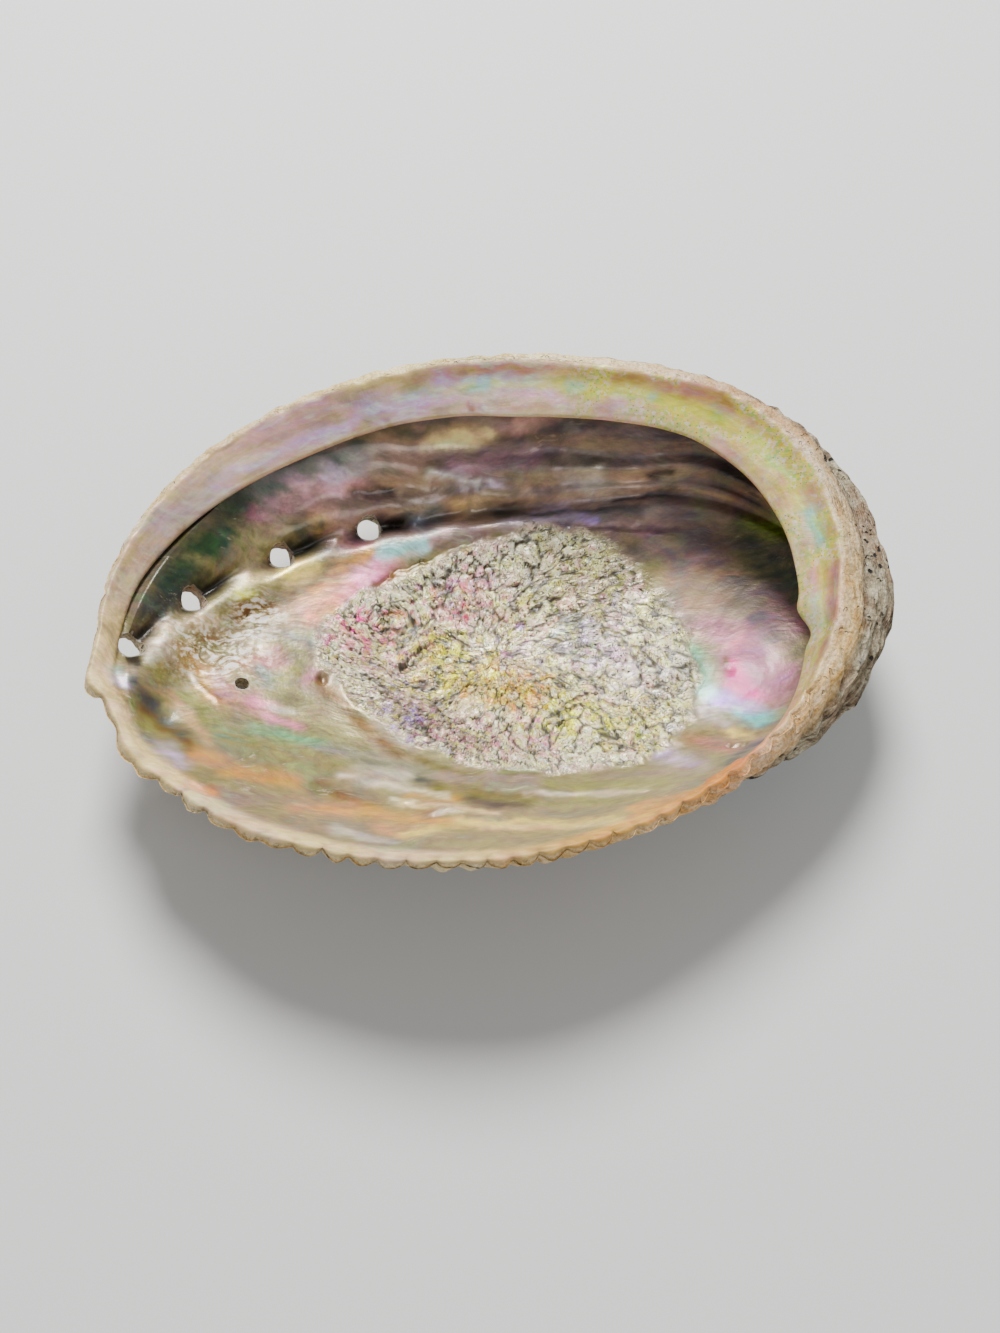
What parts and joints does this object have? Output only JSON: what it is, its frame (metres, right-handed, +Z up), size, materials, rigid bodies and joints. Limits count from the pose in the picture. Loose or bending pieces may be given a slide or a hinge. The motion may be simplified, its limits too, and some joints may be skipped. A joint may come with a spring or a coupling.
{
  "type": "abalone shell",
  "caption": "Adult abalone shell lying on its back: ribbed, crusted outside, iridescent pearly inside with a broad inner shelf, a rough muscle scar and a row of breathing holes.",
  "frame": {"origin": "lowest point of the back, on the flat worn spot that the shell rests on", "axes": "+X towards the spire end, +Y towards the side with the broad pearly shelf, +Z up out of the shell's mouth"},
  "size_m": [0.1562, 0.1143, 0.0383],
  "materials": {
    "pearl_and_crust": "gloss"
  },
  "bodies": {
    "root": {"shell": "pearl_and_crust"}
  },
  "joints": []
}
